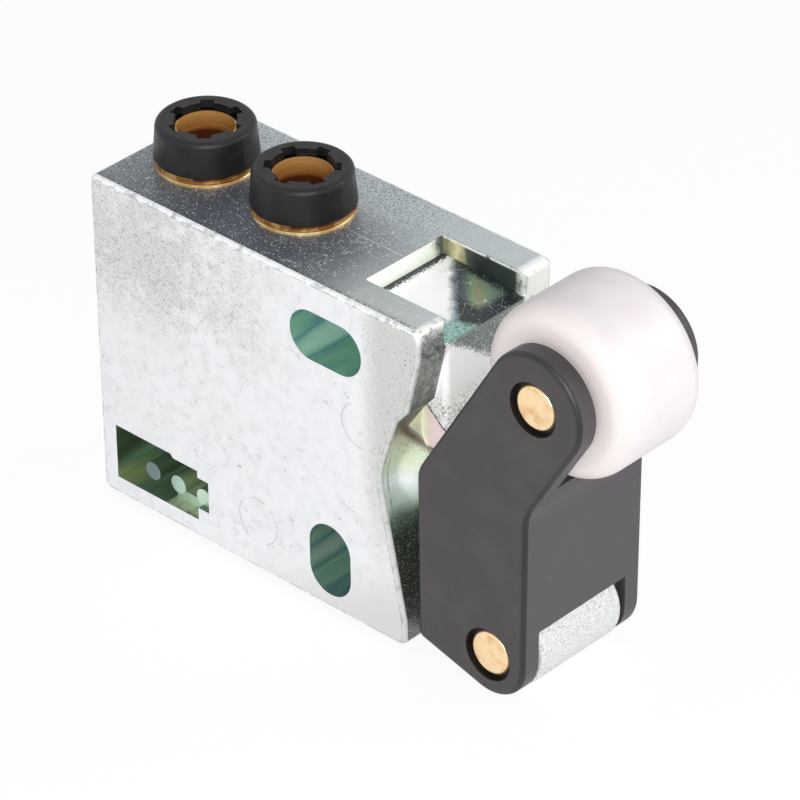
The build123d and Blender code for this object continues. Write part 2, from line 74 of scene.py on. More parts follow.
def stand_camera():
    """Place the camera on a sphere round the target, turned by azimuth, elevation and roll."""
    turn, tilt, roll = np.radians([look_azimuth, look_elevation, look_roll])
    away = np.array([np.sin(turn) * np.cos(tilt), -np.cos(turn) * np.cos(tilt), np.sin(tilt)])
    right = np.cross(-away, [0, 0, 1.0])
    right /= np.linalg.norm(right)
    up = np.cross(right, -away)
    side = right * np.cos(roll) + up * np.sin(roll)
    rise = -right * np.sin(roll) + up * np.cos(roll)
    camera = bpy.data.objects.new("camera", bpy.data.cameras.new("camera"))
    bpy.context.scene.collection.objects.link(camera)
    place_on(camera, side, rise, away,
             look_target + side * look_side + rise * look_up + away * look_distance)
    camera.data.sensor_width = film_width
    camera.data.lens = lens_pixels * film_width / picture_pixels
    camera.data.clip_start, camera.data.clip_end = 0.01, 20.0
    bpy.context.scene.camera = camera


def hang_lamp(name, place, aim, size, power, casts=True):
    """A square soft lamp: its -Z axis points from its place to its aim, both in millimetres."""
    lamp = bpy.data.lights.new(name, "AREA")
    lamp.use_shadow = casts
    lamp.size = size * MM
    lamp.energy = power
    holder = bpy.data.objects.new(name, lamp)
    bpy.context.scene.collection.objects.link(holder)
    place, aim = np.array(place, float), np.array(aim, float)
    back = (place - aim) / np.linalg.norm(place - aim)
    side = np.cross([0, 0, 1.0], back)
    side /= np.linalg.norm(side)
    place_on(holder, side, np.cross(back, side), back, place * MM)


def put(node, inputs):
    """Wire or set a node's inputs: a socket is linked, anything else is its value."""
    for key, value in inputs.items():
        if isinstance(value, bpy.types.NodeSocket):
            node.id_data.links.new(value, node.inputs[key])
        else:
            node.inputs[key].default_value = value
    return node


def adder(tree):
    """Give a function that adds one shader node to the tree, with its settings and inputs."""

    def add(kind, inputs=None, **settings):
        node = tree.nodes.new("ShaderNode" + kind)
        for key, value in settings.items():
            setattr(node, key, value)
        return put(node, inputs or {})

    return add


def paint(red, green, blue):
    """A colour as the eye names it, 0 to 255, turned into the linear light that shaders use."""
    channel = np.array([red, green, blue]) / 255
    linear = np.where(channel <= 0.04045, channel / 12.92, ((channel + 0.055) / 1.055) ** 2.4)
    return (*linear.tolist(), 1.0)


def larger(add, one, other):
    """The larger of two values."""
    return add("Math", {0: one, 1: other}, operation="MAXIMUM").outputs[0]


def light_world():
    """Even white light; rays that the camera or a gloss sends out see plain white paper."""
    world = bpy.data.worlds.new("room")
    world.use_nodes = True
    bpy.context.scene.world = world
    add = adder(world.node_tree)
    path = add("LightPath")
    seen = larger(add, path.outputs["Is Camera Ray"], path.outputs["Is Transmission Ray"])
    spread = add("Mix", {"Factor": path.outputs["Is Glossy Ray"], "A": room_light, "B": room_gloss},
                 data_type="FLOAT").outputs[0]
    strength = add("Mix", {"Factor": seen, "A": spread, "B": 1.0}, data_type="FLOAT").outputs[0]
    put(world.node_tree.nodes["Background"], {"Color": (1, 1, 1, 1), "Strength": strength})


def lay_table():
    """A plane, flat to z of the table and curling up behind: z is the radius less a cosine."""
    across = np.linspace(-table_reach, table_reach, 3)
    share = np.linspace(0, 1, table_rows)
    depth = -table_reach + 2 * table_reach * share
    bend = np.clip((share - curl_start) / (1 - curl_start), 0, 1) * math.pi / 2
    rise = table_level + curl_radius * (1 - np.cos(bend))
    turn = math.radians(look_azimuth)
    forward = np.array([-math.sin(turn), math.cos(turn)])
    grid_depth, grid_across = np.meshgrid(depth, across, indexing="ij")
    places = np.stack([
        grid_depth * forward[0] + grid_across * forward[1],
        grid_depth * forward[1] - grid_across * forward[0],
        np.repeat(rise[:, None], 3, axis=1),
    ], axis=-1)
    corner = (np.arange(table_rows - 1)[:, None] * 3 + np.arange(2)[None, :]).ravel()
    faces = np.stack([corner, corner + 1, corner + 4, corner + 3], axis=1)
    mesh = bpy.data.meshes.new("table")
    mesh.from_pydata(places.reshape(-1, 3).tolist(), [], faces.tolist())
    mesh.polygons.foreach_set("use_smooth", np.ones(len(faces), bool))
    table = bpy.data.objects.new("table", mesh)
    bpy.context.scene.collection.objects.link(table)
    paper = bpy.data.materials.new("white_paper")
    paper.use_nodes = True
    tree = paper.node_tree
    add = adder(tree)
    path = add("LightPath")
    seen = larger(add, path.outputs["Is Camera Ray"], path.outputs["Is Glossy Ray"])
    shader = put(tree.nodes["Principled BSDF"], {
        "Base Color": paint(244, 244, 244), "Roughness": 0.9, "Specular IOR Level": 0.0})
    glow = add("Emission", {"Color": (1, 1, 1, 1), "Strength": paper_glow})
    glow_share = add("Math", {0: seen, 1: paper_share}, operation="MULTIPLY").outputs[0]
    surface = add("MixShader", {0: glow_share, 1: shader.outputs[0], 2: glow.outputs[0]})
    put(tree.nodes["Material Output"], {"Surface": surface.outputs[0]})
    mesh.materials.append(paper)


stand_camera()
light_world()
hang_lamp("front_lamp", (280, -270, 285), (5, 0, 14), 190, 0.15)
hang_lamp("fill_lamp", (300, -270, 260), (10, 0, 16), 240, 1.55, casts=False)
hang_lamp("left_lamp", (-200, -300, 150), (0, 0, 12), 220, 0.09)
hang_lamp("back_lamp", (270, 330, 250), (16, 0, 22), 200, 0.42)
lay_table()
bpy.context.scene.view_settings.view_transform = "Standard"

# BODY CASTING
# One zinc die casting with a thin blue-white and yellow passivation. The flat near and far
# faces are rubbed pale, the skin inside the slots, the window and the tray keeps its tint.

body_half_width = 7.4
body_top = 29.3
wall_back, wall_front = -16.5, 18.5
tray_back, tray_low = 10.05, 27.1
tray_half_width = 4.35
nose_half_width, nose_low = 4.32, 16.9
slot_reach, slot_drop, slot_rise = 3.9, 3.4, 2.45
upper_slot, lower_slot = (8.73, 24.5), (8.73, 4.54)
window_low_corner, window_high_corner = (-14.95, 1.6), (-4.5, 6.75)
round_marks = (((12.25, 18.5), 1.95), ((0.95, 4.65), 2.05), ((-8.2, 21.4), 1.5))
smudges = ((-0.97, 9.0), (-0.43, 5.15))


def new_finish(name):
    """A new material: itself, its node adder, object coordinates in millimetres, its shader."""
    finish = bpy.data.materials.new(name)
    finish.use_nodes = True
    add = adder(finish.node_tree)
    mm = add("Mapping", {"Vector": add("TexCoord").outputs["Object"],
                         "Scale": (1 / MM, 1 / MM, 1 / MM)}).outputs[0]
    return finish, add, mm, finish.node_tree.nodes["Principled BSDF"]


def dress(piece, finish):
    """Put one finish on every material slot of a piece."""
    piece.data.materials.clear()
    piece.data.materials.append(finish)


def coat(finish, *node_names):
    """Put one finish on the pieces of these nodes."""
    for node_name in node_names:
        dress(part[node_name], finish)


def axes_of(add, vector):
    """The x, y and z of a vector."""
    return add("SeparateXYZ", {0: vector}).outputs


def facing_of(add):
    """The x, y and z of the direction that the surface faces."""
    return axes_of(add, add("TexCoord").outputs["Normal"])


def ramp(add, value, low, high):
    """Smooth step: 0 where the value is under low, 1 where it is over high."""
    return add("MapRange", {"Value": value, "From Min": low, "From Max": high},
               interpolation_type="SMOOTHSTEP").outputs[0]


def run(add, value, low, high, start, end):
    """A straight run from start to end while the value goes from low to high, level beyond."""
    return add("MapRange", {"Value": value, "From Min": low, "From Max": high,
                            "To Min": start, "To Max": end}).outputs[0]


def scaled(add, value, factor, more=0.0):
    """The value times a factor, plus another value."""
    return add("Math", {0: value, 1: factor, 2: more}, operation="MULTIPLY_ADD").outputs[0]


def magnitude(add, value):
    """The value without its sign."""
    return add("Math", {0: value}, operation="ABSOLUTE").outputs[0]


def both(add, *masks):
    """The product of masks, so that all of them have to hold."""
    product = masks[0]
    for mask in masks[1:]:
        product = add("Math", {0: product, 1: mask}, operation="MULTIPLY").outputs[0]
    return product


def within(add, value, low, high, soft=0.05):
    """A mask between two values of one coordinate."""
    return both(add, ramp(add, value, low - soft, low + soft),
                ramp(add, value, high + soft, high - soft))


def noise(add, place, scale, detail=3.0, rough=0.5, stretch=(1, 1, 1), shift=(0, 0, 0)):
    """Layered noise of about 1 / scale millimetres, stretched if asked, centred on 0.5."""
    spot = add("Mapping", {"Vector": place, "Location": shift, "Scale": stretch}).outputs[0]
    return add("TexNoise", {"Vector": spot, "Scale": scale, "Detail": detail,
                            "Roughness": rough}).outputs["Fac"]


def tint(add, under, over, mask, kind="MIX"):
    """Lay one colour over another where the mask is 1."""
    layer = add("Mix", {"Factor": mask}, data_type="RGBA", blend_type=kind)
    put(layer, {6: under, 7: over})
    return layer.outputs[2]


def veins(add, place, scale, width, shift=(0, 0, 0)):
    """Thin crooked lines: 1 where layered noise passes its middle value, within a width."""
    field = noise(add, place, scale, 3.0, 0.56, shift=shift)
    return ramp(add, magnitude(add, scaled(add, field, 1.0, -0.5)), width, 0.0)


def specks(add, place, per_mm, radius, shift=(0, 0, 0)):
    """Sharp round dots: 1 within a radius in millimetres of points strewn through space."""
    spot = add("Mapping", {"Vector": place, "Location": shift}).outputs[0]
    gap = add("TexVoronoi", {"Vector": spot, "Scale": per_mm}).outputs["Distance"]
    return ramp(add, gap, radius * per_mm, radius * per_mm * 0.5)


def along(add, value, low, high, stops):
    """A run of colours over one value from low to high; a stop is its share and its colour."""
    node = add("ValToRGB", {"Fac": run(add, value, low, high, 0.0, 1.0)})
    for number, (place, colour) in enumerate(stops):
        ends = node.color_ramp.elements
        stop = ends[number] if number < 2 else ends.new(place)
        stop.position, stop.color = place, paint(*colour)
    return node.outputs[0]


def from_axis(add, mm, point, across):
    """The distance from a line through a point: across is 0 along the line and 1 across it."""
    apart = add("VectorMath", {0: mm, 1: [-value for value in point]}, operation="ADD").outputs[0]
    apart = add("VectorMath", {0: apart, 1: across}, operation="MULTIPLY").outputs[0]
    return add("VectorMath", {0: apart}, operation="LENGTH").outputs[1]


def mark_ring(add, mm, centre, radius, width):
    """A faint round mark on a side face: distance from its centre, close to its radius."""
    reach = from_axis(add, mm, (centre[0], 0, centre[1]), (1, 0, 1))
    return within(add, reach, radius - width, radius + width, 0.08)


def casting_fields(add, mm):
    """What the zones of the casting share: place, direction, and noises from coarse to fine."""
    x, y, z = axes_of(add, mm)
    facing = facing_of(add)
    grain = noise(add, mm, 5.5, 3.0, 0.6, shift=(1, 5, 2))
    return SimpleNamespace(
        mm=mm, x=x, y=y, z=z, facing=facing,
        out=magnitude(add, y),
        sideways=magnitude(add, facing[1]),
        cloud=noise(add, mm, 0.16, 4.0, 0.62),
        mottle=noise(add, mm, 0.9, 5.0, 0.6, shift=(3, 1, 7)),
        grain=grain,
        ragged=scaled(add, grain, 1.0, -0.5),
        dots=noise(add, mm, 8.0, 2.0, 0.5, shift=(6, 2, 3)),
        # noise for painted glints: bright flecks of highlight
        glints=noise(add, mm, 10.5, 1.0, 0.4, shift=(2, 8, 5)),
    )


def bare_skin_and_highlights(add, at):
    """Where nothing rubs the casting: grey and wrinkled, with painted highlights on the wrinkles
    and a bright painted highlight high up; darker and green-grey lower down.
    """
    skin = tint(add, paint(148, 152, 148), paint(104, 108, 104), ramp(add, at.mottle, 0.42, 0.62))
    # painted highlights on the wrinkles
    skin = tint(add, skin, paint(220, 224, 220), ramp(add, at.grain, 0.58, 0.7))
    skin = tint(add, skin, paint(70, 73, 69), ramp(add, at.dots, 0.6, 0.68))
    # painted highlight high up, near the top edge
    skin = tint(add, skin, paint(196, 202, 198), both(
        add, ramp(add, at.z, 24.6, 27.2), veins(add, at.mm, 1.6, 0.05, (5, 5, 1))))
    return tint(add, skin, paint(78, 90, 84), ramp(add, at.z, 23.6, 21.4))


def rubbed_face(add, at):
    """The flat faces: nearly white, etched at the upper back, greyer at the front and foot.

    Gives the colour and the mask of the etched lines.
    """
    height = scaled(add, at.z, 0.006, scaled(add, at.x, -0.012, -0.08))
    worn = scaled(add, at.mottle, 0.35, scaled(add, at.cloud, 1.0, height))
    patch = both(add, ramp(add, at.z, 15.0, 23.0), ramp(add, at.x, 7.0, -6.0))
    patch = scaled(add, patch, 0.9, 0.1)
    crackle = both(add, veins(add, at.mm, 0.45, 0.009, (3, 3, 9)), ramp(add, at.mottle, 0.5, 0.62))
    etching = both(add, veins(add, at.mm, 1.1, 0.022), ramp(add, worn, 0.5, 0.8), patch,
                   ramp(add, at.grain, 0.44, 0.56))
    fine_etching = both(add, veins(add, at.mm, 2.4, 0.035, (4, 9, 1)),
                        ramp(add, worn, 0.56, 0.82), patch, ramp(add, at.grain, 0.42, 0.54))
    pale = tint(add, paint(236, 237, 240), paint(231, 232, 235), ramp(add, at.mottle, 0.42, 0.62))
    pale = tint(add, pale, paint(212, 213, 214), both(add, patch, ramp(add, worn, 0.6, 0.9)))
    pale = tint(add, pale, paint(188, 189, 191), crackle)
    pale = tint(add, pale, paint(146, 147, 149), etching)
    pale = tint(add, pale, paint(154, 155, 157), fine_etching)
    pale = tint(add, pale, paint(255, 255, 255), both(
        add, specks(add, at.mm, 3.0, 0.06), ramp(add, worn, 0.55, 0.75)))
    pale = tint(add, pale, paint(128, 128, 130), both(
        add, specks(add, at.mm, 1.1, 0.085, (5, 2, 4)), ramp(add, at.mottle, 0.52, 0.56)))
    rings = 0.0
    for centre, radius in round_marks:
        rings = larger(add, rings, mark_ring(add, at.mm, centre, radius, 0.03))
    pale = tint(add, pale, paint(164, 165, 167), both(add, rings, ramp(add, at.mottle, 0.38, 0.56)))
    for centre in smudges:
        spot = mark_ring(add, at.mm, centre, 0.0, 0.22)
        pale = tint(add, pale, paint(172, 172, 170), both(
            add, spot, ramp(add, at.grain, 0.4, 0.56)))
    foot = scaled(add, at.x, -0.42, at.z)
    pale = tint(add, pale, paint(214, 214, 213), ramp(add, foot, 2.0, -4.5))
    front = both(add, ramp(add, at.x, 12.0, 14.6), ramp(add, at.z, 5.0, 16.0))
    pale = tint(add, pale, paint(206, 207, 204), front)
    pale = tint(add, pale, paint(194, 195, 192), both(add, front, ramp(add, at.grain, 0.48, 0.62)))
    pale = tint(add, pale, paint(120, 122, 118), both(
        add, front, ramp(add, at.mottle, 0.46, 0.54), specks(add, at.mm, 2.6, 0.09, (1, 1, 6))))
    return pale, etching


def top_face_and_reflection(add, at):
    """Dark blue-grey, as painted reflection of darker surroundings over the passivation's blue
    tint, with bright painted glints by the ports, plainer and paler to the front.
    """
    # painted reflection: the top is painted darker than the near faces, darkest in the middle, for
    # the darker surroundings that it mirrors
    upper = along(add, at.x, wall_back, wall_front, (
        (0.0, (140, 146, 148)), (1.0, (192, 200, 199)), (0.12, (110, 117, 124)),
        (0.3, (88, 95, 106)), (0.55, (86, 94, 106)), (0.68, (118, 124, 130)),
        (0.8, (172, 179, 180))))
    upper = tint(add, upper, paint(192, 201, 203), both(
        add, ramp(add, at.y, -1.5, 5.5), ramp(add, at.grain, 0.3, 0.58)))
    upper = tint(add, upper, paint(52, 55, 62), both(
        add, ramp(add, at.grain, 0.5, 0.68), ramp(add, at.x, 8.0, 2.0), ramp(add, at.y, 3.5, -1.0)))
    # painted glints: bright specks, thickest by the ports
    glinting = both(add, ramp(add, at.x, 11.0, 5.0), ramp(add, at.y, 5.0, -0.5))
    glinting = scaled(add, glinting, 1.0, 0.15)
    upper = tint(add, upper, paint(244, 249, 252), both(
        add, specks(add, at.mm, 3.4, 0.068), glinting))
    upper = tint(add, upper, paint(176, 184, 194), both(
        add, specks(add, at.mm, 6.0, 0.045, (3, 7, 1)), glinting))
    upper = tint(add, upper, paint(206, 210, 211), both(
        add, veins(add, at.mm, 0.5, 0.008, (2, 2, 8)), ramp(add, at.x, -2.0, 6.0)))
    upper = tint(add, upper, paint(64, 66, 68), both(
        add, ramp(add, at.y, -6.5, -7.0), ramp(add, at.dots, 0.5, 0.58)))
    seam = both(add, within(add, at.y, -0.04, 0.03, 0.04), ramp(add, at.x, 4.2, 5.0))
    return tint(add, upper, paint(204, 210, 210), seam)


def tray_walls(add, at):
    """A pale yellow-green wall at the back, darkened by painted shade into the far corner; the far
    wall runs from straw to a dark green, with a painted highlight along its top edge.
    """
    streaks = noise(add, at.mm, 1.4, 3.0, 0.5, stretch=(1, 0.15, 1))
    wall = tint(add, paint(255, 255, 252), paint(244, 255, 234), ramp(add, streaks, 0.42, 0.66))
    # painted shade: the back wall darkens into the corner by the far wall
    corner = scaled(add, at.mottle, 2.4, at.y)
    wall = tint(add, wall, paint(84, 92, 86), ramp(add, corner, 4.1, 5.2))
    far_wall = along(add, scaled(add, at.mottle, 2.0, at.x), 10.5, 19.5, (
        (0.0, (64, 70, 62)), (1.0, (140, 146, 136)), (0.12, (150, 150, 114)),
        (0.22, (222, 212, 164)), (0.34, (76, 78, 68)), (0.46, (34, 42, 42)),
        (0.7, (38, 48, 44)), (0.9, (50, 60, 54))))
    # painted highlight along the far wall's top edge
    far_wall = tint(add, far_wall, paint(236, 240, 236), both(
        add, ramp(add, at.z, body_top - 0.35, body_top - 0.2), ramp(add, at.mottle, 0.36, 0.5)))
    return tint(add, wall, far_wall, ramp(add, at.facing[1], -0.5, -0.9))


def tray_floor(add, at):
    """White at the back; across a slant it turns navy, green and nearly black at the front. The
    white and navy are partly painted reflection of the surroundings over the floor's own tint, and
    painted shade darkens the creases along the back and far walls.
    """
    slant = scaled(add, at.cloud, 1.0, scaled(add, at.y, 0.95, at.x))
    slant = scaled(add, at.grain, 0.9, scaled(add, at.mottle, 1.1, slant))
    # partly painted reflection: white where the floor mirrors bright surroundings, navy and dark
    # where it mirrors darker ones
    floor = along(add, slant, 8.0, 24.0, (
        (0.0, (255, 255, 255)), (1.0, (92, 108, 96)), (0.5, (255, 255, 255)),
        (0.54, (128, 138, 144)), (0.57, (52, 58, 76)), (0.61, (78, 96, 90)),
        (0.66, (126, 150, 114)), (0.72, (128, 148, 118)), (0.8, (116, 136, 120))))
    rust = both(add, within(add, slant, 19.1, 19.3, 0.4), within(add, at.y, 1.4, 3.0, 0.8))
    floor = tint(add, floor, paint(172, 116, 70), rust)
    floor = tint(add, floor, paint(20, 27, 27), both(
        add, ramp(add, slant, 16.6, 17.6), ramp(add, at.y, 1.4, 0.2)))
    floor = tint(add, floor, paint(28, 36, 38), ramp(add, at.x, 16.4, 17.5))
    # painted shade in the crease along the far wall
    floor = tint(add, floor, paint(36, 46, 44), both(
        add, ramp(add, slant, 16.6, 17.4), ramp(add, at.y, 3.3, 4.1)))
    near = scaled(add, at.mottle, 3.0, scaled(add, at.x, -0.5, at.y))
    floor = tint(add, floor, paint(28, 38, 36), both(
        add, ramp(add, near, -8.2, -9.2), ramp(add, at.x, 15.0, 16.6)))
    floor = tint(add, floor, paint(150, 190, 183), both(
        add, ramp(add, near, -8.1, -9.1), ramp(add, at.grain, 0.3, 0.5)))
    floor = tint(add, floor, paint(196, 204, 200), both(
        add, veins(add, at.mm, 0.22, 0.003, (7, 1, 1)), ramp(add, slant, 14.0, 16.0)))
    edge = scaled(add, at.ragged, 1.5, at.x)
    # painted shade: a dark line in the crease along the back wall
    floor = tint(add, floor, paint(46, 52, 52), ramp(add, edge, tray_back + 0.75, tray_back + 0.45))
    return tint(add, floor, paint(236, 242, 240), both(
        add, specks(add, at.mm, 4.0, 0.05, (2, 2, 2)), ramp(add, slant, 15.8, 16.6),
        ramp(add, at.grain, 0.46, 0.54)))


def hollow_skin(add, at):
    """Teal for the slots and dark green for the window, in soft bands across the body, with painted
    shade on the ends of the window's posts.
    """
    band = noise(add, at.mm, 0.32, 2.0, 0.4, stretch=(1, 0.12, 1), shift=(2, 0, 5))
    teal = along(add, band, 0.3, 0.7, (
        (0.0, (90, 138, 142)), (1.0, (188, 224, 206)), (0.25, (118, 174, 160)),
        (0.45, (146, 194, 168)), (0.6, (104, 156, 160)), (0.8, (164, 206, 188))))
    teal = tint(add, teal, paint(218, 210, 208), ramp(add, at.z, 10.0, 8.0), "MULTIPLY")
    deep = along(add, band, 0.3, 0.7, (
        (0.0, (58, 64, 46)), (1.0, (160, 176, 120)), (0.35, (72, 92, 66)), (0.65, (100, 130, 108))))
    ledge = both(add, ramp(add, at.x, -9.6, -9.2), ramp(add, at.z, 2.75, 2.55))
    deep = tint(add, deep, paint(180, 194, 166), both(add, ledge, ramp(add, at.mottle, 0.3, 0.55)))
    # painted shade on the post ends: dim at the back post, paler towards the front
    shaded_post_ends = both(add, ramp(add, at.facing[1], -0.6, -0.9), ramp(add, at.y, -2.9, -3.3))
    return teal, tint(add, deep, along(add, at.x, -11.0, -7.0, (
        (0.0, (108, 128, 128)), (1.0, (198, 220, 200)), (0.3, (150, 178, 168)))), shaded_post_ends)


def throat_tint_and_painted_light(add, at, under):
    """Under the nose, by height over the passivation's yellow-green and mint: brown painted shade
    at the top, a white painted highlight, and dark speckled painted shade low down.
    """
    # painted light by height: brown painted shade high up, a white painted highlight near z 14,
    # dark painted shade below z 11
    throat = along(add, scaled(add, at.mottle, 1.4, at.z), 2.0, 22.0, (
        (0.0, (112, 114, 110)), (1.0, (96, 92, 80)), (0.16, (60, 62, 58)), (0.4, (58, 64, 56)),
        (0.47, (110, 128, 110)), (0.53, (202, 220, 206)), (0.62, (238, 244, 244)),
        (0.7, (226, 236, 212)), (0.78, (214, 226, 196)), (0.85, (204, 192, 178)),
        (0.91, (120, 112, 102))))
    # painted shade in the concave fillet under the shoulder
    throat = tint(add, throat, paint(112, 100, 88), both(
        add, within(add, under, 11.7, 12.6, 0.5), ramp(add, at.z, 15.6, 16.6),
        ramp(add, at.y, -6.9, -6.2)))
    throat = tint(add, throat, paint(128, 166, 156), both(
        add, within(add, at.y, -6.62, -6.5, 0.06), within(add, at.z, 9.6, 16.4, 0.8),
        ramp(add, at.mottle, 0.36, 0.5)))
    throat = tint(add, throat, paint(30, 32, 30), both(
        add, ramp(add, at.dots, 0.54, 0.62), ramp(add, at.z, 12.0, 10.0)))
    # painted glints in the dark low part
    throat = tint(add, throat, paint(160, 170, 156), both(
        add, ramp(add, at.glints, 0.6, 0.68), ramp(add, at.z, 12.5, 10.5)))
    return tint(add, throat, paint(150, 140, 128), both(
        add, ramp(add, at.grain, 0.56, 0.66), within(add, at.z, 16.2, 17.6, 0.4)))


def nose_skin_and_painted_light(add, at, facet):
    """Pure white as painted light for the strong light on the nose, with a dark brow flecked with
    painted glints and a dark parting line.
    """
    # painted light: the nose is painted pure white for the strong light that falls on it
    painted_bright = tint(add, paint(255, 255, 254), paint(226, 229, 222), both(
        add, ramp(add, at.grain, 0.45, 0.6), ramp(add, at.z, 23.5, 20.5)))
    painted_bright = tint(add, painted_bright, paint(160, 162, 156), both(
        add, ramp(add, at.dots, 0.53, 0.61), ramp(add, at.z, 23.0, 20.4)))
    brow = scaled(add, at.ragged, 2.0, scaled(add, at.y, 0.69, at.z))
    brow = ramp(add, brow, 23.9, 24.5)
    painted_bright = tint(add, painted_bright, paint(142, 148, 148), brow)
    painted_bright = tint(add, painted_bright, paint(96, 104, 106), both(add, brow, ramp(add, at.dots, 0.54, 0.62)))
    # painted glints on the brow
    painted_bright = tint(add, painted_bright, paint(240, 244, 242), both(add, brow, specks(add, at.mm, 4.0, 0.07)))
    crack = scaled(add, at.ragged, 0.35, scaled(add, at.x, 0.92, at.z))
    crack = scaled(add, crack, 1.0, -35.62)
    side = both(add, within(add, at.y, -4.6, -4.1, 0.05), ramp(add, at.z, nose_low, nose_low + 0.2))
    painted_bright = tint(add, painted_bright, facet, both(add, side, ramp(add, crack, 0.05, -0.05)))
    return tint(add, painted_bright, paint(40, 42, 38), both(
        add, side, within(add, crack, -0.1, 0.1, 0.04)))


def highlit_edges(add, at, colour):
    """Streaks along the rounded edges of the flat faces: a bright painted highlight, with grey
    breaks.
    """
    rim = both(add, ramp(add, at.out, body_half_width - 0.42, body_half_width - 0.36),
               within(add, at.sideways, 0.12, 0.985, 0.02))
    streaks = noise(add, at.mm, 1.3, 6.0, 0.78, shift=(4, 4, 2))
    waved_edge = both(add, ramp(add, at.x, 11.5, 13.5),
                      ramp(add, at.z, body_top - 0.6, body_top - 1.3))
    shine = tint(add, paint(238, 240, 240), paint(204, 206, 204), waved_edge)
    # painted highlight where the rounded edges turn towards the light
    colour = tint(add, colour, shine, both(add, rim, ramp(add, streaks, 0.22, 0.36)))
    colour = tint(add, colour, paint(172, 174, 174), both(add, rim, ramp(add, streaks, 0.49, 0.68)))
    scar = both(add, within(add, at.sideways, 0.93, 0.985, 0.01),
                ramp(add, at.out, body_half_width - 0.4, body_half_width - 0.3),
                ramp(add, streaks, 0.46, 0.52))
    return tint(add, colour, paint(172, 173, 174), scar)


def in_box(add, at, centre, reach, drop, rise):
    """A mask round a point of the side face: reach to both sides, drop below and rise above."""
    return both(add, within(add, at.x, centre[0] - reach, centre[0] + reach),
                within(add, at.z, centre[1] - drop, centre[1] + rise))


